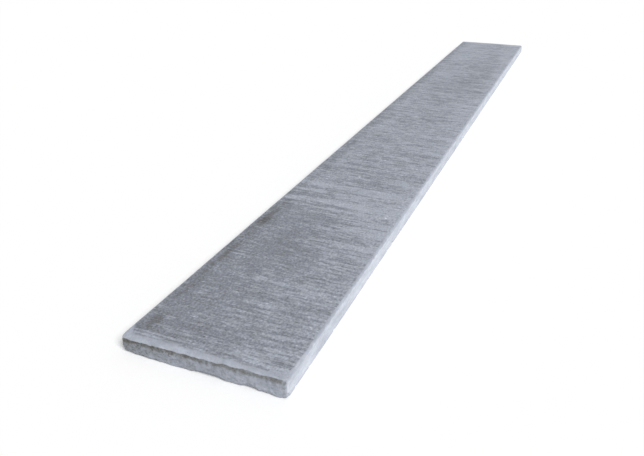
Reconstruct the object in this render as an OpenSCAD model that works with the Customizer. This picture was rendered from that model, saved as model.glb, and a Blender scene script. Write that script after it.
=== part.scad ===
// Long thin precast concrete slab, lying on its back with its brushed face up.
// It is cast in one piece: flat back, flat face, square long edges and square ends.
// X is the length, Y the width and Z the thickness, from the middle of the underside.

/* [Slab] */
// Length of the slab
slab_length = 2750; // [600:10:3600]
// Width of the slab
slab_width = 300; // [150:5:600]
// Thickness of the slab
slab_thickness = 35; // [25:1:80]

/* [Face arrises, left by the edging tool] */
// Radius where the face meets the two ends
end_arris_r = 10; // [3:0.5:14]
// Radius where the face meets the two long edges
side_arris_r = 6; // [2:0.5:14]

/* [Back arrises, left by the mould] */
// Radius where the back meets the ends and the long edges
back_arris_r = 2; // [1:0.5:6]

/* [Corners in plan] */
// Radius of the four upright corners
corner_r = 5; // [2:0.5:20]

/* [Hidden] */
$fn = 64;
// How far each outline runs past the slab, so that only the other two end it
overrun = 10;

// What a radius r takes off a square corner that stands at the origin
module corner_waste(r) {
    difference() {
        translate([-overrun, -overrun])
            square(r + overrun);
        translate([r, r])
            circle(r);
    }
}

// Rectangle that stands on the X axis, centred on Y, with rounded lower and upper corners
module rounded_outline(width, height, lower_r, upper_r) {
    difference() {
        translate([-width / 2, 0])
            square([width, height]);
        for (side = [0, 1])
            mirror([side, 0]) {
                translate([-width / 2, 0])
                    corner_waste(lower_r);
                translate([-width / 2, height])
                    mirror([0, 1])
                        corner_waste(upper_r);
            }
    }
}

// The slab seen from its long edge, run across the width
module side_view() {
    rotate([90, 0, 0])
        linear_extrude(height = slab_width + 2 * overrun, center = true)
            rounded_outline(slab_length, slab_thickness, back_arris_r, end_arris_r);
}

// The slab seen from its end, run along the length
module end_view() {
    rotate([90, 0, 90])
        linear_extrude(height = slab_length + 2 * overrun, center = true)
            rounded_outline(slab_width, slab_thickness, back_arris_r, side_arris_r);
}

// The slab seen from above, run up through the thickness
module plan_view() {
    translate([0, -slab_width / 2, -overrun])
        linear_extrude(height = slab_thickness + 2 * overrun)
            rounded_outline(slab_length, slab_width, corner_r, corner_r);
}

// The casting: what the three outlines have in common, so the arrises mitre at the corners
module slab() {
    color([0.60, 0.62, 0.66])
        intersection() {
            side_view();
            end_view();
            plan_view();
        }
}

slab();
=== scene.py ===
"""A long precast concrete slab that lies on its back with its brushed face up.

The slab is one casting. Its mesh starts as a box, whose points are moved onto the rounded
form of the CAD node, with arrises that waver, and then pushed in by the relief: brush
marks on the face, the coarse skin of the ends, chips and worn corners.

Lengths are in millimetres for the slab and its material, and in metres from there on.
"""

import math
from typing import NamedTuple

import bmesh
import bpy
import numpy as np
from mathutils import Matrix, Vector


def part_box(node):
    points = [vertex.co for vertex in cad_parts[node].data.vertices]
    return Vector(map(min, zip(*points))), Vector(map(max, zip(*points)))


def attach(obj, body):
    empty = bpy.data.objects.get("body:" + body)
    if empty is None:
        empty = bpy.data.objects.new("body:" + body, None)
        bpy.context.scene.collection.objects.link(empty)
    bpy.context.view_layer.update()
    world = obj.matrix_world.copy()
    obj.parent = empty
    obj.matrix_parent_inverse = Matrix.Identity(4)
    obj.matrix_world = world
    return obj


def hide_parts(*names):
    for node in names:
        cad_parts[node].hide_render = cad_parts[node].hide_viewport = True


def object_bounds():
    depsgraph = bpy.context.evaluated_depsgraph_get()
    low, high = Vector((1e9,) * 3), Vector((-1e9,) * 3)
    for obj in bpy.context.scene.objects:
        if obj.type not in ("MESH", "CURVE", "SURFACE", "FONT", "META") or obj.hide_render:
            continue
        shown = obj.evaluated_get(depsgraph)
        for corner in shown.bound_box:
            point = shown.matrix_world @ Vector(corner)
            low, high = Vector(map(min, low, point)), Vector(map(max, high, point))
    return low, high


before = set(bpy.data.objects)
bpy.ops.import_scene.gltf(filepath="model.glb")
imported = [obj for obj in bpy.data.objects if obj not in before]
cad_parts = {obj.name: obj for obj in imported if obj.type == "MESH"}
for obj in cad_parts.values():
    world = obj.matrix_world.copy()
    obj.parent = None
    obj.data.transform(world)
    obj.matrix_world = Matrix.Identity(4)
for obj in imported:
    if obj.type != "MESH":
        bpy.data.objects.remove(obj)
cad_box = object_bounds()

MM = 0.001  # metres in a millimetre
SLAB = "slab"

box_low, box_high = (np.array(corner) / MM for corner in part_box(SLAB))
LENGTH, WIDTH, THICKNESS = box_high - box_low
MIDDLE = (box_low + box_high) / 2


# Noise ---------------------------------------------------------------------------------

PRIMES = [np.uint64(prime) for prime in (374761393, 668265263, 2246822519, 3266489917)]
LOW_32_BITS = np.uint64(0xFFFFFFFF)
LOW_24_BITS = np.uint64(0xFFFFFF)
LATTICE_START = 4096  # keeps the lattice's whole numbers above 0


def lattice(cell, seed):
    """A random number from 0 to 1 for each whole-numbered cell corner."""
    x, y, z = (axis.astype(np.uint64) for axis in cell)
    mixed = x * PRIMES[0] + y * PRIMES[1] + z * PRIMES[2]
    mixed = (mixed + np.uint64(seed) * PRIMES[3]) & LOW_32_BITS
    for shift, prime in ((15, PRIMES[2]), (13, PRIMES[3])):
        mixed = ((mixed ^ (mixed >> np.uint64(shift))) * prime) & LOW_32_BITS
    return ((mixed ^ (mixed >> np.uint64(16))) & LOW_24_BITS) / float(LOW_24_BITS)


def noise(points, size, seed):
    """Smooth noise from 0 to 1, whose lumps are size (x, y, z) millimetres."""
    scaled = points / np.asarray(size, float) + LATTICE_START
    whole = np.floor(scaled).astype(np.int64)
    part = scaled - whole
    part = part * part * (3 - 2 * part)
    total = 0
    for corner in np.ndindex(2, 2, 2):
        step = np.array(corner)
        share = np.where(step, part, 1 - part).prod(axis=1)
        total = total + share * lattice((whole + step).T, seed)
    return total


def rough_noise(points, size, seed, octaves=3):
    """Noise with finer noise laid over it, from 0 to 1."""
    size = np.asarray(size, float)
    total = sum(noise(points, size / 2**k, seed + k) / 2**k for k in range(octaves))
    return total / sum(1 / 2**k for k in range(octaves))


def smooth_step(value, low, high):
    """0 at low and 1 at high, with a smooth change between."""
    part = np.clip((value - low) / (high - low), 0, 1)
    return part * part * (3 - 2 * part)


# The form of the casting ---------------------------------------------------------------

END_ARRIS = (10.5, 8.0)  # radius of face to end, at the +Y and at the -Y end of that arris
SIDE_ARRIS = 6.0  # radius of face to long edge
BACK_ARRIS = 2.0
PLAN_CORNER = 5.0  # radius of end to long edge
SAG_REACH = (30.0, 4.0)  # from an end, where its back arris starts to sag and sags in full
BLUR = 1.6  # how far the mitres between two arrises are softened
CORE_INSET = 12.0  # from the box to the inner box that the points are moved towards
HALVINGS = 16  # of the line on which a point of the casting is searched for
SLOPE_STEP = 0.2  # from a point to the places whose distances give the slope there


def rounded_rectangle(u, v, half_u, half_v, radius):
    """Distance outside a rectangle with rounded corners, centred on the origin."""
    over_u = np.abs(u) - half_u + radius
    over_v = np.abs(v) - half_v + radius
    outside = np.hypot(np.maximum(over_u, 0), np.maximum(over_v, 0))
    return outside + np.minimum(np.maximum(over_u, over_v), 0) - radius


def sharp_casting(points, radii):
    """Distance outside the slab, as the side, end and plan outlines cut it."""
    x, y, z = (points - MIDDLE).T
    half_x, half_y, half_z = LENGTH / 2, WIDTH / 2, THICKNESS / 2
    end_arris, side_arris, back_arris, corner = radii
    side = rounded_rectangle(x, z, half_x, half_z, np.where(z > 0, end_arris, back_arris))
    end = rounded_rectangle(y, z, half_y, half_z, np.where(z > 0, side_arris, back_arris))
    plan = rounded_rectangle(x, y, half_x, half_y, corner)
    return np.maximum(np.maximum(side, end), plan)


def casting(points, radii):
    """The same distance, averaged over a small ball, which rounds the mitres."""
    offsets = BLUR * np.vstack([np.eye(3), -np.eye(3)])
    return sum(sharp_casting(points + offset, radii) for offset in offsets) / len(offsets)


def arris_radii(points):
    """The four radii at each point: end, side, back and plan corner. All of them waver."""
    across = (points[:, 1] - box_low[1]) / WIDTH
    end_arris = END_ARRIS[1] + (END_ARRIS[0] - END_ARRIS[1]) * across
    end_arris = end_arris * (0.9 + 0.2 * rough_noise(points, (40, 22, 40), 11))
    side_arris = SIDE_ARRIS * (0.85 + 0.3 * rough_noise(points, (70, 40, 40), 12))
    ragged = rough_noise(points, (9, 9, 60), 13) ** 2
    sagging = smooth_step(noise(points, (60, 38, 60), 15), 0.35, 0.95)
    off_middle = np.abs(points[:, 0] - MIDDLE[0])
    at_end = smooth_step(off_middle, LENGTH / 2 - SAG_REACH[0], LENGTH / 2 - SAG_REACH[1])
    back_arris = BACK_ARRIS * (0.8 + 0.8 * ragged + at_end * (ragged + 2.2 * sagging))
    corner = PLAN_CORNER * (0.9 + 0.4 * rough_noise(points, (12, 12, 12), 14))
    return end_arris, side_arris, back_arris, corner


def onto_casting(points):
    """Moves points of the box along straight lines towards its core, onto the slab."""
    core = np.clip(points, box_low + CORE_INSET, box_high - CORE_INSET)
    radii = arris_radii(points)
    inner, outer = np.zeros(len(points)), np.ones(len(points))
    for _ in range(HALVINGS):
        middle = (inner + outer) / 2
        outside = casting(core + (points - core) * middle[:, None], radii) > 0
        outer = np.where(outside, middle, outer)
        inner = np.where(outside, inner, middle)
    return core + (points - core) * inner[:, None]


def outward(points, radii):
    """The direction that leads straight out of the casting at each point."""
    steps = SLOPE_STEP * np.eye(3)
    slope = [casting(points + step, radii) - casting(points - step, radii) for step in steps]
    slope = np.stack(slope, 1)
    return slope / np.maximum(np.linalg.norm(slope, axis=1), 1e-9)[:, None]


# Relief, as a depth below the casting --------------------------------------------------

# Each kind of mark is its depth times noise of its own size.


def face_relief(points):
    """Brush marks that run across the slab, over slow waves left by the screed."""
    waves = 0.7 * noise(points, (210, 130, 60), 21) + 0.3 * noise(points, (60, 70, 60), 22)
    wander = points + 5 * (noise(points, (60, 60, 60), 23) - 0.5)[:, None] * (1, 0, 0)
    broad = 0.30 * rough_noise(wander, (15, 110, 60), 24, 2)
    fine = 0.26 * noise(wander, (4.6, 42, 60), 25)
    brushed = noise(points, (90, 110, 60), 26)
    return waves + broad + fine * (0.4 + 1.2 * brushed)


def end_relief(points):
    """The coarse, torn skin of the ends."""
    lumps = 0.8 * rough_noise(points, (30, 16, 10), 31, 3)
    pits = 0.8 * smooth_step(noise(points, (6, 5, 5), 32), 0.72, 0.95)
    return lumps + pits


def edge_relief(points):
    """Lengthwise marks that a mould board left on the long edges."""
    marks = 0.25 * rough_noise(points, (220, 60, 4), 41, 2)
    return marks + 0.35 * noise(points, (160, 60, 60), 42)


def back_relief(points):
    """The slow waves of the mould's bottom."""
    return 0.35 * noise(points, (120, 60, 60), 51)


class Wear(NamedTuple):
    """How an edge of the box is chipped."""

    per_metre: float
    radius: tuple  # smallest and largest
    depth: tuple  # least and most, as a share of the radius


TORN_END = Wear(34, (4.0, 12.0), (0.08, 0.17))  # the back arris of the two ends
CAST_EDGE = Wear(18, (3.0, 5.8), (0.14, 0.30))  # the back arris of the long edges
UPRIGHT = Wear(20, (2.5, 4.5), (0.10, 0.25))  # the four arrises that stand up
TOOLED_EDGE = Wear(5, (2.5, 4.6), (0.10, 0.18))  # the arrises round the face
CORNER_RADIUS = 11.0  # of the hollow where a corner is worn off
CORNER_DEPTH = 1.7
CORNER_RADIUS_SPREAD = (0.7, 1.3)  # the eight corners differ by these shares
CORNER_DEPTH_SPREAD = (0.4, 1.2)
CHIP_WALL = 0.35  # how wide a chip's sloping side is, as a share of its radius
CHIP_STRETCH = 1.7  # how much longer a chip is along its edge than across it
CHIP_REACH = 2  # no chip reaches further than this along X, in radii
CHIP_SEED = 7
NOTCH_AT = 0.46  # share of the width from -Y, where the near end's back arris is broken
NOTCH_RADII = (9.0, 31.0, 9.0)
NOTCH_DEPTH = 3.2


def edge_wear(pick, axis):
    """The wear of the edge that runs along an axis from that corner of the box."""
    if axis == 2:
        return UPRIGHT
    if pick[2]:
        return TOOLED_EDGE
    return TORN_END if axis == 1 else CAST_EDGE


def edge_lines():
    """The twelve edges of the box, each as its start, its axis and its wear."""
    for pick in np.ndindex(2, 2, 2):
        start = np.where(pick, box_high, box_low)
        for axis in range(3):
            if not pick[axis]:
                yield start, axis, edge_wear(pick, axis)


def inward_from(point, axis=None):
    """The direction from an edge along that axis, or from a corner, into the slab."""
    into = np.sign(MIDDLE - point)
    if axis is not None:
        into[axis] = 0
    return into / np.linalg.norm(into)


def chip_list():
    """The chips, the worn corners and the notch: centre, direction, radii and depth of each."""
    rng = np.random.default_rng(CHIP_SEED)
    for start, axis, wear in edge_lines():
        along = (box_high - box_low) * np.eye(3)[axis]
        inward = inward_from(start, axis)
        for _ in range(rng.poisson(wear.per_metre * along.sum() * MM)):
            centre = start + along * rng.uniform()
            radius = rng.uniform(*wear.radius)
            stretch = 1 + (CHIP_STRETCH - 1) * np.eye(3)[axis]
            yield centre, inward, radius * stretch, radius * rng.uniform(*wear.depth)
    for pick in np.ndindex(2, 2, 2):
        corner = np.where(pick, box_high, box_low)
        radius = CORNER_RADIUS * rng.uniform(*CORNER_RADIUS_SPREAD)
        depth = CORNER_DEPTH * rng.uniform(*CORNER_DEPTH_SPREAD)
        yield corner, inward_from(corner), np.full(3, radius), depth
    notch = box_low + (0, NOTCH_AT * WIDTH, 0)
    yield notch, inward_from(notch, 1), np.array(NOTCH_RADII), NOTCH_DEPTH


def chip_points(points):
    """Pushes the points in where the arrises are chipped, and returns them with how far.

    Where chips overlap, the deepest one counts."""
    push = np.zeros_like(points)
    ragged = 0.7 + 0.7 * rough_noise(points, (7, 7, 7), 61, 3)
    for centre, inward, radii, depth in chip_list():
        near = np.flatnonzero(np.abs(points[:, 0] - centre[0]) < CHIP_REACH * radii[0])
        apart = np.linalg.norm((points[near] - centre) / radii, axis=1)
        hollow = depth * smooth_step(1 - apart * ragged[near], 0, CHIP_WALL)
        deeper = hollow > np.linalg.norm(push[near], axis=1)
        push[near[deeper]] = inward * hollow[deeper, None]
    return points + push, np.linalg.norm(push, axis=1)


def relieve(points, normals):
    """Pushes the points in by the relief, and returns them with the depth of the chips."""
    share = normals**2
    up, down = normals[:, 2] > 0, normals[:, 2] < 0
    depth = share[:, 0] * end_relief(points) + share[:, 1] * edge_relief(points)
    depth += share[:, 2] * (up * face_relief(points) + down * back_relief(points))
    return chip_points(points - normals * depth[:, None])


# The grid of the box -------------------------------------------------------------------

RING_STEP = 1.85  # between rings along the slab
CAP_DEPTH = 26.0  # how far the fine grid of each end reaches


def grid_lines(length, low_zone, high_zone, middle):
    """Grid lines from 0 to length, with a zone of (width, segments) at each of its ends.

    Between the zones lie that many segments."""
    low = np.linspace(0, low_zone[0], low_zone[1] + 1)
    centre = np.linspace(low_zone[0], length - high_zone[0], middle + 1)
    high = np.linspace(length - high_zone[0], length, high_zone[1] + 1)
    return np.concatenate([low[:-1], centre[:-1], high])


# Zones for the arrises, as (width, segments)
SIDE_ZONE = (6.6, 3)
BACK_ZONE = (8.4, 4)
FINE_SIDE_ZONE = (6.6, 5)
FINE_BACK_ZONE = (3.0, 4)
FINE_END_ZONE = (11.0, 6)
NO_ZONE = (0.0, 0)

tube_top_y = box_low[1] + grid_lines(WIDTH, SIDE_ZONE, SIDE_ZONE, middle=17)
tube_back_y = box_low[1] + grid_lines(WIDTH, BACK_ZONE, BACK_ZONE, middle=4)
tube_z = box_low[2] + grid_lines(THICKNESS, BACK_ZONE, SIDE_ZONE, middle=2)
cap_y = box_low[1] + grid_lines(WIDTH, FINE_SIDE_ZONE, FINE_SIDE_ZONE, middle=165)
cap_z = box_low[2] + grid_lines(THICKNESS, FINE_BACK_ZONE, FINE_END_ZONE, middle=12)
cap_x = grid_lines(CAP_DEPTH, FINE_END_ZONE, NO_ZONE, middle=6)


def ring(back_y, top_y, side_z):
    """One loop of (y, z) points round the box, from its lowest corner at -Y."""
    back = [(y, side_z[0]) for y in back_y[:-1]]
    far_side = [(back_y[-1], z) for z in side_z[:-1]]
    top = [(y, side_z[-1]) for y in top_y[:0:-1]]
    near_side = [(top_y[0], z) for z in side_z[:0:-1]]
    return np.array(back + far_side + top + near_side)


class Grid:
    """Collects the points and faces of the box."""

    def __init__(self):
        self.blocks = []
        self.count = 0
        self.faces = []

    def points(self, block):
        """Adds a block of points, and returns their numbers."""
        first = self.count
        self.blocks.append(block)
        self.count += len(block)
        return np.arange(first, self.count)

    def ring(self, x, loop):
        """Adds a loop of (y, z) points at x, and returns their numbers."""
        return self.points(np.column_stack([np.full(len(loop), x), loop]))

    def band(self, one, other):
        """Quads between two loops of as many points."""
        quads = np.stack([one, np.roll(one, -1), np.roll(other, -1), other], 1)
        self.faces += quads.tolist()

    def bridge(self, coarse, fine, coarse_at, fine_at):
        """Triangles between two loops, given how far round the box each point lies."""
        coarse_at = np.append(coarse_at, 1.0)
        fine_at = np.append(fine_at, 1.0)
        i = j = 0
        while i < len(coarse) or j < len(fine):
            a, b = coarse[i % len(coarse)], fine[j % len(fine)]
            take_fine = i == len(coarse) or (j < len(fine) and fine_at[j + 1] <= coarse_at[i + 1])
            if take_fine:
                j += 1
                self.faces.append([a, fine[j % len(fine)], b])
            else:
                i += 1
                self.faces.append([a, coarse[i % len(coarse)], b])

    def end(self, x, loop, y_lines, z_lines):
        """Fills an end with a grid whose rim is the loop that was made by ring()."""
        ny, nz = len(y_lines) - 1, len(z_lines) - 1
        index = np.zeros((ny + 1, nz + 1), int)
        rim = [(i, 0) for i in range(ny)] + [(ny, k) for k in range(nz)]
        rim += [(i, nz) for i in range(ny, 0, -1)] + [(0, k) for k in range(nz, 0, -1)]
        for (i, k), point in zip(rim, loop):
            index[i, k] = point
        y, z = np.meshgrid(y_lines[1:-1], z_lines[1:-1], indexing="ij")
        inner = np.column_stack([np.full(y.size, x), y.ravel(), z.ravel()])
        index[1:-1, 1:-1] = self.points(inner).reshape(y.shape)
        quads = np.stack([index[:-1, :-1], index[1:, :-1], index[1:, 1:], index[:-1, 1:]], -1)
        self.faces += quads.reshape(-1, 4).tolist()


def how_far_round(loop):
    """How far round the box each point of a loop lies, from 0 to 1."""
    steps = np.linalg.norm(np.roll(loop, -1, axis=0) - loop, axis=1)
    return np.append(0, np.cumsum(steps))[:-1] / steps.sum()


def box_grid():
    """The box's points and faces: rings along the slab, and a fine cap on each end."""
    grid = Grid()
    fine = ring(cap_y, cap_y, cap_z)
    coarse = ring(tube_back_y, tube_top_y, tube_z)
    span = LENGTH - 2 * (CAP_DEPTH + RING_STEP)
    tube_x = box_low[0] + CAP_DEPTH + RING_STEP + np.linspace(0, span, round(span / RING_STEP) + 1)
    tube = [grid.ring(x, coarse) for x in tube_x]
    for one, other in zip(tube, tube[1:]):
        grid.band(one, other)
    for end_x, inward, last in ((box_low[0], 1, tube[0]), (box_high[0], -1, tube[-1])):
        cap = [grid.ring(end_x + inward * x, fine) for x in cap_x]
        for one, other in zip(cap, cap[1:]):
            grid.band(one, other)
        grid.bridge(last, cap[-1], how_far_round(coarse), how_far_round(fine))
        grid.end(end_x, cap[0], cap_y, cap_z)
    return np.concatenate(grid.blocks), grid.faces


# The map that textures are baked to ----------------------------------------------------

STRIPS = 4  # the long sides are cut into this many strips along X
STRIP_COLUMNS = 2  # which lie side by side in this many columns
CHART_GAP = 6.0


def chart_places():
    """The lower left corner of each chart, and the size of the square that holds them all.

    A chart is (axis, sign, strip): the way that its faces look, and its strip along X."""
    column = LENGTH / STRIPS + CHART_GAP
    places, top = {}, CHART_GAP
    for axis, height in ((2, WIDTH), (1, THICKNESS)):
        for sign in (1, -1):
            for strip in range(STRIPS):
                row, place = divmod(strip, STRIP_COLUMNS)
                corner = (CHART_GAP + place * column, top + row * (height + CHART_GAP))
                places[axis, sign, strip] = corner
            top += STRIPS // STRIP_COLUMNS * (height + CHART_GAP)
    for place, sign in enumerate((1, -1)):
        places[0, sign, 0] = (CHART_GAP + place * (WIDTH + CHART_GAP), top)
    return places, top + THICKNESS + CHART_GAP


def bake_map(mesh, box_points):
    """Lays every face flat on the square, by the side of the box that it lies on."""
    places, size = chart_places()
    layer = mesh.uv_layers.new(name="OFBake")
    uv = np.zeros((len(mesh.loops), 2))
    for face in mesh.polygons:
        look = np.array(face.normal)
        axis = int(np.abs(look).argmax())
        sign = 1 if look[axis] > 0 else -1
        along = 1 if axis == 0 else 0
        across = 1 if axis == 2 else 2
        corners = box_points[list(face.vertices)]
        strip = 0
        if axis:
            share = (corners[:, 0].mean() - box_low[0]) / LENGTH
            strip = int(share * STRIPS)
        start = places[axis, sign, strip]
        zero = (box_low[along] + strip * LENGTH / STRIPS, box_low[across])
        for k, corner in zip(face.loop_indices, corners):
            uv[k] = (start[0] + corner[along] - zero[0], start[1] + corner[across] - zero[1])
    layer.uv.foreach_set("vector", (uv / size).ravel())


# The mesh of the slab ------------------------------------------------------------------

BROKEN_DEPTH = 0.12  # a chip deeper than this is faceted, like broken concrete
CHIPPED_DEPTH = 0.6  # a chip this deep has its full colour


def slab_mesh():
    """The slab's mesh, which says in its "chipped" attribute where it is chipped."""
    box_points, faces = box_grid()
    cast = onto_casting(box_points)
    normals = outward(cast, arris_radii(box_points))
    points, chips = relieve(cast, normals)
    mesh = bpy.data.meshes.new("concrete_slab")
    mesh.from_pydata((points * MM).tolist(), [], faces)
    turned = bmesh.new()
    turned.from_mesh(mesh)
    bmesh.ops.recalc_face_normals(turned, faces=turned.faces)
    turned.to_mesh(mesh)
    turned.free()
    smooth = [float(chips[list(face.vertices)].min()) < BROKEN_DEPTH for face in mesh.polygons]
    mesh.polygons.foreach_set("use_smooth", smooth)
    chipped = mesh.attributes.new("chipped", "FLOAT", "POINT")
    chipped.data.foreach_set("value", np.clip(chips / CHIPPED_DEPTH, 0, 1))
    bake_map(mesh, cast)
    return mesh


# The concrete --------------------------------------------------------------------------

# Colours as (tone, colour on screen). Tone is a colour's red level, from 0 to 255.
CONCRETE_TONES = (
    (84, (84, 84, 83)),
    (104, (104, 105, 107)),
    (120, (120, 123, 129)),
    (130, (130, 134, 144)),
    (146, (146, 150, 158)),
    (158, (158, 163, 173)),
    (172, (171, 176, 187)),
    (192, (192, 197, 206)),
    (216, (216, 221, 230)),
    (240, (240, 243, 248)),
)
UNTINTED = (1.0, 1.0, 1.0)
COOL_TINT = (0.988, 0.997, 1.02)  # of the bluer patches
SOILED_TINT = (1.0, 0.98, 0.90)  # of the dark parts of the ends
SOILED_TONES = (150, 128)  # of an end, where that tint starts and where it is full

ARRIS_TONE = 164
BACK_TONE = 158
# The long edges' tone is partly their own and mostly painted light, as if lit strongly from above
EDGE_TONE = 196
END_TONE = 140
SKIN_TONES = (126, 166)  # of the face, where its pale skin is rubbed off and where it is whole
SKIN_BASE = 148  # to which the face's shades and streaks are added
SKIN_LIMITS = (114, 178)  # the sums at which the skin is rubbed off and whole
BROKEN_TONE = 150
BROKEN_SHARE = 0.45  # how far a chip's tone goes towards the broken one
SPECULAR = 0.3

END_STRIP = 14.0  # width of the pale strip that the edging tool left along the ends
SIDE_STRIP = 5.0  # the same along the long edges
STRIP_CORNER = 3.4  # radius of the strip's inner corners, in strip widths
END_CLIMB = 6.0  # how much higher the rough skin of an end reaches at -Y than at +Y
END_LEAN = 1.6  # how much further in from the end it reaches near the top

# Where a side's own finish starts and where it is full, as distances in from the box
FACE_INSIDE = (0.7, 1.2)  # in strip widths
FACE_BELOW_TOP = (4.0, 2.0)
END_FROM_END = (3.5, 2.0)
END_BELOW_TOP = (6.8, 7.8)
LEAN_BELOW_TOP = (7.0, 3.0)
DARK_LINE_BELOW_TOP = (16.0, 9.0)  # the dark line just under an end's arris
EDGE_FROM_EDGE = (4.0, 1.2)
EDGE_BELOW_TOP = (2.0, 6.4)
EDGE_FROM_END = (1.5, 4.5)
BACK_ABOVE_FLOOR = (1.6, 0.8)

# How the shade of the face changes, as (place from 0 to 1, about how much paler)
SHADE_REACH = 16  # more than any of these changes
SHADE_WEIGHT = 1.2
SHADE_SLANT = 0.05  # how much nearer to -X a shade's border is at -Y than at +Y
SHADE_SHIFT = -0.022
SHADE_ALONG = (
    (0.0, -9),
    (0.16, -9),
    (0.21, 7),
    (0.27, 4),
    (0.32, -1),
    (0.4, 3),
    (0.67, -1),
    (0.92, 5),
)
NEAR_SHADE_ACROSS = (
    (0.0, -6),
    (0.06, -14),
    (0.11, -12),
    (0.17, -6),
    (0.32, -5),
    (0.6, 1),
    (0.8, 5),
    (0.97, 11),
)
FAR_SHADE_ACROSS = (
    (0.0, -4),
    (0.055, -10),
    (0.12, 0),
    (0.2, 2),
    (0.4, -1),
    (0.6, -3),
    (0.8, 0),
    (0.97, 8),
)

# Dirt on the face, and two broad dark patches: from -X and from +Y to the middle, half the
# length, half the width, how dark
STAINS = (
    (57, 29, 25, 14, 17),
    (170, 20, 80, 5, 7),
    (305, 21, 62, 6, 15),
    (476, 21, 58, 11, 21),
    (1010, 24, 70, 9, 8),
    (385, 140, 60, 60, 6),
    (2050, 215, 260, 45, 6),
)


def on_screen(red, green, blue):
    """The linear colour that shows as these levels, from 0 to 255, on screen."""
    return (*(((level / 255 + 0.055) / 1.055) ** 2.4 for level in (red, green, blue)), 1.0)


class Graph:
    """Adds nodes to a material. A value is a number, a vector or a node's output."""

    def __init__(self, material):
        self.tree = material.node_tree
        self.tree.nodes.clear()
        where = self.node("TexCoord", {}).outputs["Object"]
        self.place = self.vector("SCALE", where, Scale=1 / MM)
        axes = self.node("SeparateXYZ", {"Vector": self.place}).outputs
        self.x, self.y, self.z = axes["X"], axes["Y"], axes["Z"]
        self.from_end = self.math("SUBTRACT", LENGTH / 2, self.math("ABSOLUTE", self.x))
        self.from_edge = self.math("SUBTRACT", WIDTH / 2, self.math("ABSOLUTE", self.y))
        self.from_top = self.math("SUBTRACT", THICKNESS, self.z)
        self.along = self.math("MULTIPLY_ADD", self.x, 1 / LENGTH, 0.5)  # 0 to 1 from -X
        self.across = self.math("MULTIPLY_ADD", self.y, -1 / WIDTH, 0.5)  # 0 to 1 from +Y

    def node(self, kind, values, **settings):
        """Adds a shader node, and links or sets its inputs to the values."""
        made = self.tree.nodes.new("ShaderNode" + kind)
        for name, setting in settings.items():
            setattr(made, name, setting)
        for key, value in values.items():
            if isinstance(value, bpy.types.NodeSocket):
                self.tree.links.new(value, made.inputs[key])
            else:
                made.inputs[key].default_value = value
        return made

    def vector(self, operation, *values, **named):
        values = {**dict(enumerate(values)), **named}
        return self.node("VectorMath", values, operation=operation).outputs["Vector"]

    def math(self, operation, *values):
        return self.node("Math", dict(enumerate(values)), operation=operation).outputs[0]

    def hypot(self, one, other):
        squares = self.math("MULTIPLY_ADD", one, one, self.math("MULTIPLY", other, other))
        return self.math("SQRT", squares)

    def all_of(self, *shares):
        """The product of the shares."""
        total = shares[0]
        for share in shares[1:]:
            total = self.math("MULTIPLY", total, share)
        return total

    def step(self, value, low, high):
        """0 at low and 1 at high, with a smooth change between."""
        values = {"Value": value, "From Min": low, "From Max": high}
        return self.node("MapRange", values, interpolation_type="SMOOTHSTEP").outputs[0]

    def blend(self, share, one, other):
        """A number that goes from one to other, which are inputs 2 and 3 of a Mix node."""
        values = {"Factor": share, 2: one, 3: other}
        return self.node("Mix", values, data_type="FLOAT").outputs[0]

    def between(self, share, one, other):
        """A vector that goes from one to other, which are inputs 4 and 5 of a Mix node."""
        values = {"Factor": share, 4: one, 5: other}
        return self.node("Mix", values, data_type="VECTOR").outputs[1]

    def noise(self, size, seed, detail=2.0, roughness=0.55):
        """Noise round 0, mostly from -0.25 to 0.25. Its lumps are size (x, y, z) in mm."""
        finer = tuple(1 / length for length in size)
        shift = (seed * 7.31, seed * 3.77, seed * 5.13)
        where = self.vector("MULTIPLY_ADD", self.place, finer, shift)
        values = {"Vector": where, "Scale": 1.0, "Detail": detail, "Roughness": roughness}
        return self.math("SUBTRACT", self.node("TexNoise", values).outputs[0], 0.5)

    def total(self, base, *terms):
        """base plus each term, which is (weight, value)."""
        for weight, value in terms:
            base = self.math("MULTIPLY_ADD", value, weight, base)
        return base

    def ramp(self, value, stops):
        """A colour for a value from 0 to 1, from stops of (value, colour)."""
        made = self.node("ValToRGB", {"Fac": value})
        points = made.color_ramp.elements
        for _ in stops[2:]:
            points.new(0.5)
        for point, (at, colour) in zip(points, stops):
            point.position = at
            point.color = colour
        return made.outputs["Color"]

    def profile(self, value, stops, reach):
        """A level from -reach to reach, from stops of (value from 0 to 1, level)."""
        greys = [(at, ((level / reach + 1) / 2,) * 3 + (1.0,)) for at, level in stops]
        return self.math("MULTIPLY_ADD", self.ramp(value, greys), 2 * reach, -reach)


def below_strip(g):
    """How far below the face each place of an end lies, with the end's climb towards -Y."""
    return g.total(g.from_top, (END_CLIMB, g.across))


def face_region(g, waver):
    """How much each place belongs to the face, inside the pale strip."""
    fringe = g.noise((5, 3.2, 5), 15, detail=3.0)
    end_wavered = g.total(g.from_end, (9.0, waver), (7.0, fringe))
    edge_wavered = g.total(g.from_edge, (5.0, waver))
    short_of = [
        g.math("MAXIMUM", g.math("MULTIPLY_ADD", distance, -1 / width, STRIP_CORNER), 0)
        for distance, width in ((end_wavered, END_STRIP), (edge_wavered, SIDE_STRIP))
    ]
    inside = g.math("SUBTRACT", STRIP_CORNER, g.hypot(*short_of))
    return g.all_of(g.step(inside, *FACE_INSIDE), g.step(g.from_top, *FACE_BELOW_TOP))


def end_region(g, waver):
    """How much each place belongs to an end, which climbs over its arris towards -Y."""
    climbed = g.total(below_strip(g), (5.0, waver))
    leaning = g.total(g.from_end, (-END_LEAN, g.step(g.from_top, *LEAN_BELOW_TOP)))
    return g.all_of(g.step(leaning, *END_FROM_END), g.step(climbed, *END_BELOW_TOP))


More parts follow.
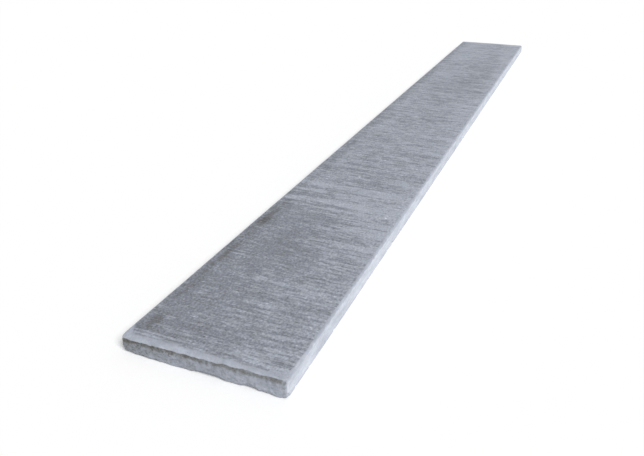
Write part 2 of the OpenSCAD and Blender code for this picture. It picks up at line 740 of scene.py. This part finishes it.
def edge_region(g, waver):
    """How much each place belongs to a long edge."""
    top_wavered = g.total(g.from_top, (6.0, waver))
    return g.all_of(
        g.step(g.from_edge, *EDGE_FROM_EDGE),
        g.step(top_wavered, *EDGE_BELOW_TOP),
        g.step(g.from_end, *EDGE_FROM_END),
    )


def regions(g):
    """How much each place belongs to each side. What belongs to none is a tooled arris."""
    waver = g.noise((14, 14, 14), 1, detail=3.0)
    return {
        "face": face_region(g, waver),
        "end": end_region(g, waver),
        "edge": edge_region(g, waver),
        "back": g.step(g.z, *BACK_ABOVE_FLOOR),
    }


# The finish of each side, as a tone, a height in mm and a roughness --------------------

# Noise is mostly from -0.25 to 0.25, so a weight of 40 moves a tone by about 10 either way.


def face_places(g):
    """How far along and across the face each place lies, 0 to 1, for shades that waver."""
    waver = g.noise((160, 90, 60), 2, detail=3.0)
    along = g.total(SHADE_SHIFT, (1, g.along), (SHADE_SLANT, g.across), (0.11, waver))
    across = g.total(g.across, (0.12, g.noise((50, 60, 60), 3)))
    return along, across


def face_shades(g, along, across):
    """Terms for the slow changes: a dark near third, and a dark margin at +Y."""
    near_across = g.profile(across, NEAR_SHADE_ACROSS, SHADE_REACH)
    far_across = g.profile(across, FAR_SHADE_ACROSS, SHADE_REACH)
    return (
        (SHADE_WEIGHT, g.profile(along, SHADE_ALONG, SHADE_REACH)),
        (SHADE_WEIGHT, g.blend(g.step(g.along, 0.18, 0.5), near_across, far_across)),
    )


def face_strokes(g, along, lines):
    """Terms for the long strokes of the brush, and for the pale bars beside the dark third."""
    broad = g.noise((15, 280, 60), 8)
    lifted = g.step(g.noise((40, 80, 50), 74), -0.14, 0.14)
    near_end = g.step(g.from_end, 90.0, 50.0)
    strokes = g.total(0.75, (0.5, near_end), (0.3, g.step(g.along, 0.4, 0.6)))
    bars = g.all_of(g.step(along, 0.15, 0.20), g.step(along, 0.32, 0.22))
    return (
        (140, g.all_of(strokes, lines)),
        (100, g.all_of(strokes, lifted, broad)),
        (88, g.all_of(bars, broad)),
    )


def stained(g):
    """How much the dirt on the face darkens it at each place."""
    torn = g.noise((16, 9, 9), 17, detail=4.0, roughness=0.65)
    total = 0
    for from_near, from_far, half_length, half_width, darkness in STAINS:
        x = g.total(-from_near / half_length, (LENGTH / half_length, g.along))
        y = g.total(-from_far / half_width, (WIDTH / half_width, g.across))
        apart = g.total(g.hypot(x, y), (2.4, torn))
        total = g.total(total, (darkness, g.step(apart, 1.3, 0.4)))
    return total


def face_dirt(g, across, sand, short):
    """Terms for the margin's dirt, the stains, and the paler worn corners at -Y."""
    margin = g.step(across, 0.19, 0.05)
    clouded = g.all_of(
        g.step(g.noise((34, 14, 20), 4, detail=5.0), -0.08, 0.14),
        g.step(g.noise((210, 60, 60), 16, detail=1.0), -0.14, 0.10),
    )
    worn_corner = g.all_of(g.step(g.from_end, 50.0, 14.0), g.step(g.across, 0.55, 0.85))
    return (
        (-12, g.all_of(margin, clouded)),
        (-1, g.all_of(stained(g), g.total(1.0, (2.6, sand), (1.6, short)))),
        (8, worn_corner),
    )


def face_finish(g):
    """The brushed face: streaks across the slab, over slow shades, dirt and small marks."""
    along, across = face_places(g)
    mottle = g.noise((8.5, 8.5, 8), 5, detail=3.0)
    blotches = g.noise((20, 28, 20), 18)
    patches = g.noise((60, 70, 60), 9)
    drifts = g.noise((330, 110, 60), 19, detail=1.0)
    short = g.noise((5.6, 26, 10), 6)
    pressed = g.step(g.noise((60, 60, 50), 73), -0.16, 0.12)
    lines = g.all_of(pressed, g.noise((5.4, 260, 60), 7))
    smears = g.all_of(g.step(g.along, 0.28, 0.4), g.noise((13, 55, 60), 75))
    sand = g.noise((4.6, 4.2, 4), 72)
    grain = g.noise((1.7, 2.6, 2), 10)
    flecks = g.all_of(
        g.step(g.noise((4.4, 13, 8), 11, detail=1.0), 0.12, 0.32),
        g.step(g.noise((45, 45, 45), 12), -0.12, 0.12),
    )
    # pits: small hollows in the bump that are also drawn darker, which is painted shade in them
    pits = g.step(g.noise((2.6, 4.0, 3), 13, detail=1.0), -0.18, -0.28)
    scores = g.step(g.noise((5.0, 80, 40), 14, detail=1.0), -0.12, -0.24)
    skin = g.total(
        SKIN_BASE,
        *face_shades(g, along, across),
        *face_strokes(g, along, lines),
        (100, short),
        (64, mottle),
        (34, blotches),
        (32, patches),
        (16, drifts),
    )
    tone = g.total(
        SKIN_TONES[0],
        (SKIN_TONES[1] - SKIN_TONES[0], g.step(skin, *SKIN_LIMITS)),
        *face_dirt(g, across, sand, short),
        (-12, scores),
        (40, smears),
        (84, sand),
        (50, grain),
        (52, flecks),
        (-26, pits),
    )
    height = g.total(
        0,
        (0.24, short),
        (0.24, lines),
        (0.30, mottle),
        (0.36, grain),
        (-0.12, scores),
        (-0.20, pits),
        (0.08, flecks),
    )
    roughness = g.total(0.8, (0.25, short), (0.2, patches))
    return tone, height, roughness


def end_finish(g):
    """The rough ends, mottled grey and brown, darkest below the arris and towards +Y."""
    coarse = g.noise((9, 11, 9), 21, detail=3.0)
    lumps = g.noise((3.4, 3.8, 3.4), 22, detail=3.0)
    clouds = g.noise((40, 45, 24), 23)
    speckled = g.step(g.total(g.across, (0.8, clouds)), 0.55, 0.15)
    specks = g.step(g.noise((2.8, 3.4, 2.8), 24, detail=3.0), 0.02, 0.22)
    # A darker line of tone just under an end's arris
    dark_line_wavered = g.total(below_strip(g), (10, g.noise((6, 9, 6), 25, detail=3.0)))
    sand = g.noise((1.3, 1.3, 1.3), 26)
    tone = g.total(
        END_TONE,
        (60, coarse),
        (58, lumps),
        (34, clouds),
        (24, sand),
        (-14, specks),
        (-34, g.all_of(specks, speckled)),
        (-40, g.step(dark_line_wavered, *DARK_LINE_BELOW_TOP)),
        (11, g.step(g.across, 0.1, 0.3)),
        (10, g.step(g.across, 0.4, 0.9)),
        (8, g.step(g.z, 16.0, 3.0)),
    )
    height = g.total(0, (0.8, lumps), (0.8, coarse), (-0.25, specks), (0.4, sand))
    roughness = g.total(0.88, (0.2, lumps))
    return tone, height, roughness


def edge_finish(g):
    """The long edges, cast smooth against a board, with faint marks along them. Their pale tone
    is partly their own and mostly painted light, as if lit strongly from above.
    """
    streaks = g.noise((150, 60, 4.2), 31, detail=3.0)
    clouds = g.noise((46, 46, 16), 32, detail=3.0)
    spots = g.noise((7, 7, 5), 33, detail=4.0)
    grain = g.noise((2.0, 2.0, 1.6), 35)
    # holes: air holes pressed in by the bump and also drawn darker, which is painted shade in them
    holes = g.step(g.noise((3.4, 3.4, 2.6), 34, detail=0.0), 0.29, 0.35)
    # low darkens the lowest 7 mm of a long edge: painted shade next to the floor
    low = g.step(g.z, 7.0, 0.0)
    tone = g.total(
        EDGE_TONE,
        (34, streaks),
        (60, clouds),
        (42, spots),
        (26, grain),
        (-40, holes),
        (-12, low),
    )
    height = g.total(0, (0.08, streaks), (0.25, spots), (0.25, grain), (-0.5, holes))
    roughness = g.total(0.70, (0.2, streaks), (0.2, spots))
    return tone, height, roughness


def back_finish(g):
    """The back, cast against the mould: smooth and cloudy, with a few air holes."""
    clouds = g.noise((90, 70, 60), 41, detail=4.0)
    spots = g.noise((9, 9, 9), 42, detail=3.0)
    # holes: air holes pressed in by the bump and also drawn darker, which is painted shade in them
    holes = g.step(g.noise((4.5, 4.5, 4.5), 43, detail=0.0), 0.3, 0.36)
    tone = g.total(BACK_TONE, (44, clouds), (26, spots), (-34, holes))
    height = g.total(0, (0.12, spots), (-0.8, holes))
    roughness = g.total(0.62, (0.3, clouds), (0.2, spots))
    return tone, height, roughness


def arris_finish(g):
    """The arrises: pale and rubbed smooth by the edging tool."""
    rubbed = g.noise((24, 24, 9), 51, detail=4.0)
    grain = g.noise((2.4, 2.4, 2.4), 52)
    specks = g.step(g.noise((3.2, 3.2, 3.2), 53, detail=1.0), 0.16, 0.28)
    tone = g.total(ARRIS_TONE, (64, rubbed), (38, grain), (-20, specks))
    height = g.total(0, (0.10, grain), (0.10, rubbed))
    roughness = g.total(0.62, (0.3, rubbed))
    return tone, height, roughness


def chipped_finish(g, finish):
    """The finish with its chips, where the concrete is broken, rougher and greyer."""
    tone, height, roughness = finish
    chipped = g.node("Attribute", {}, attribute_name="chipped").outputs["Fac"]
    broken = g.all_of(chipped, g.noise((2.6, 2.6, 2.6), 61, detail=3.0))
    bared = g.blend(g.math("MULTIPLY", chipped, BROKEN_SHARE), tone, BROKEN_TONE)
    tone = g.total(bared, (44, broken))
    height = g.total(height, (0.5, broken))
    return tone, height, g.total(roughness, (0.15, chipped))


def colour_of(g, tone, end):
    """The colour of a tone, which is bluer in patches, and olive where an end is dark."""
    darkest, lightest = CONCRETE_TONES[0][0], CONCRETE_TONES[-1][0]
    span = lightest - darkest
    stops = [((level - darkest) / span, on_screen(*colour)) for level, colour in CONCRETE_TONES]
    plain = g.ramp(g.math("MULTIPLY_ADD", tone, 1 / span, -darkest / span), stops)
    cool = g.step(g.noise((11, 24, 11), 71, detail=3.0), -0.12, 0.12)
    cooled = g.vector("MULTIPLY", plain, g.between(cool, UNTINTED, COOL_TINT))
    soiled = g.all_of(end, g.step(tone, *SOILED_TONES))
    return g.vector("MULTIPLY", cooled, g.between(soiled, UNTINTED, SOILED_TINT))


def concrete():
    """One material for the whole casting, which knows each side by its place."""
    material = bpy.data.materials.new("cast_concrete")
    material.use_nodes = True
    g = Graph(material)
    share = regions(g)
    finish = arris_finish(g)
    sides = {"back": back_finish, "edge": edge_finish, "end": end_finish, "face": face_finish}
    for side, side_finish in sides.items():
        pairs = zip(finish, side_finish(g))
        finish = [g.blend(share[side], under, over) for under, over in pairs]
    tone, height, roughness = chipped_finish(g, finish)
    bump = g.node("Bump", {"Height": height, "Distance": MM})
    shader = g.node(
        "BsdfPrincipled",
        {
            "Base Color": colour_of(g, tone, share["end"]),
            "Roughness": roughness,
            "Specular IOR Level": SPECULAR,
            "Normal": bump.outputs["Normal"],
        },
    )
    g.node("OutputMaterial", {"Surface": shader.outputs["BSDF"]})
    return material


def add_slab():
    """Adds the detailed slab, which takes the place of the CAD node in the picture."""
    slab = bpy.data.objects.new("concrete_slab", slab_mesh())
    bpy.context.scene.collection.objects.link(slab)
    slab.data.materials.append(concrete())
    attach(slab, "root")
    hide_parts(SLAB)


# Floor, light and camera ---------------------------------------------------------------

FLOOR_SIZE = 60.0
FLOOR_COLOUR = 0.8  # for the light that it throws back
SKY = 0.42  # share of the light on a level surface that comes from all round
SUN_FROM = (-0.40, -0.62, 0.72)  # the direction towards the lamp
SUN_WIDTH = 26.0  # degrees, for a soft shadow
CAMERA_LENS = 35.0  # mm, on the usual 36 mm sensor
CAMERA_YAW = 22.8  # degrees from +X towards +Y
CAMERA_PITCH = 27.0  # degrees down
CAMERA_FROM_CORNER = (-0.635, -0.323, 0.615)  # from the near top corner


def seen_directly(tree):
    """1 for rays that show the surface itself to the camera or in a mirror, else 0."""
    path = tree.nodes.new("ShaderNodeLightPath")
    either = tree.nodes.new("ShaderNodeMath")
    either.operation = "MAXIMUM"
    tree.links.new(path.outputs["Is Camera Ray"], either.inputs[0])
    tree.links.new(path.outputs["Is Glossy Ray"], either.inputs[1])
    return either.outputs[0]


def white_when_seen(tree, value, socket):
    """Gives the socket 1 for rays that see the surface directly, and value for the rest."""
    change = tree.nodes.new("ShaderNodeMapRange")
    change.inputs["To Min"].default_value = value
    change.inputs["To Max"].default_value = 1.0
    tree.links.new(seen_directly(tree), change.inputs["Value"])
    tree.links.new(change.outputs[0], socket)


def add_floor():
    """A level floor, white to the camera, which keeps the slab's shadow."""
    half = FLOOR_SIZE / 2
    corners = [(-half, -half, 0), (half, -half, 0), (half, half, 0), (-half, half, 0)]
    mesh = bpy.data.meshes.new("floor")
    mesh.from_pydata(corners, [], [(0, 1, 2, 3)])
    floor = bpy.data.objects.new("floor", mesh)
    bpy.context.scene.collection.objects.link(floor)
    material = bpy.data.materials.new("pale_floor")
    material.use_nodes = True
    shader = material.node_tree.nodes["Principled BSDF"]
    shader.inputs["Roughness"].default_value = 1.0
    shader.inputs["Specular IOR Level"].default_value = 0.0
    white_when_seen(material.node_tree, FLOOR_COLOUR, shader.inputs["Base Color"])
    mesh.materials.append(material)


def add_light():
    """An even sky and one broad lamp, which together light a level surface in full."""
    world = bpy.data.worlds.new("studio")
    world.use_nodes = True
    sky = world.node_tree.nodes["Background"]
    sky.inputs["Color"].default_value = (1, 1, 1, 1)
    white_when_seen(world.node_tree, SKY, sky.inputs["Strength"])
    bpy.context.scene.world = world
    towards_sun = Vector(SUN_FROM).normalized()
    lamp = bpy.data.lights.new("soft_lamp", "SUN")
    lamp.angle = math.radians(SUN_WIDTH)
    lamp.energy = (1 - SKY) * math.pi / towards_sun.z
    sun = bpy.data.objects.new("soft_lamp", lamp)
    sun.rotation_euler = towards_sun.to_track_quat("Z", "Y").to_euler()
    bpy.context.scene.collection.objects.link(sun)


def add_camera():
    """Looks along the slab from beyond its near end, and down on its face."""
    yaw, pitch = math.radians(CAMERA_YAW), math.radians(CAMERA_PITCH)
    level = math.cos(pitch)
    forward = Vector((level * math.cos(yaw), level * math.sin(yaw), -math.sin(pitch)))
    low, high = cad_box
    corner = Vector((low.x, low.y, high.z))
    lens = bpy.data.cameras.new("camera")
    lens.lens = CAMERA_LENS
    camera = bpy.data.objects.new("camera", lens)
    camera.location = corner + Vector(CAMERA_FROM_CORNER)
    camera.rotation_euler = forward.to_track_quat("-Z", "Y").to_euler()
    bpy.context.scene.collection.objects.link(camera)
    bpy.context.scene.camera = camera


bpy.context.scene.view_settings.view_transform = "Standard"
add_slab()
add_floor()
add_light()
add_camera()
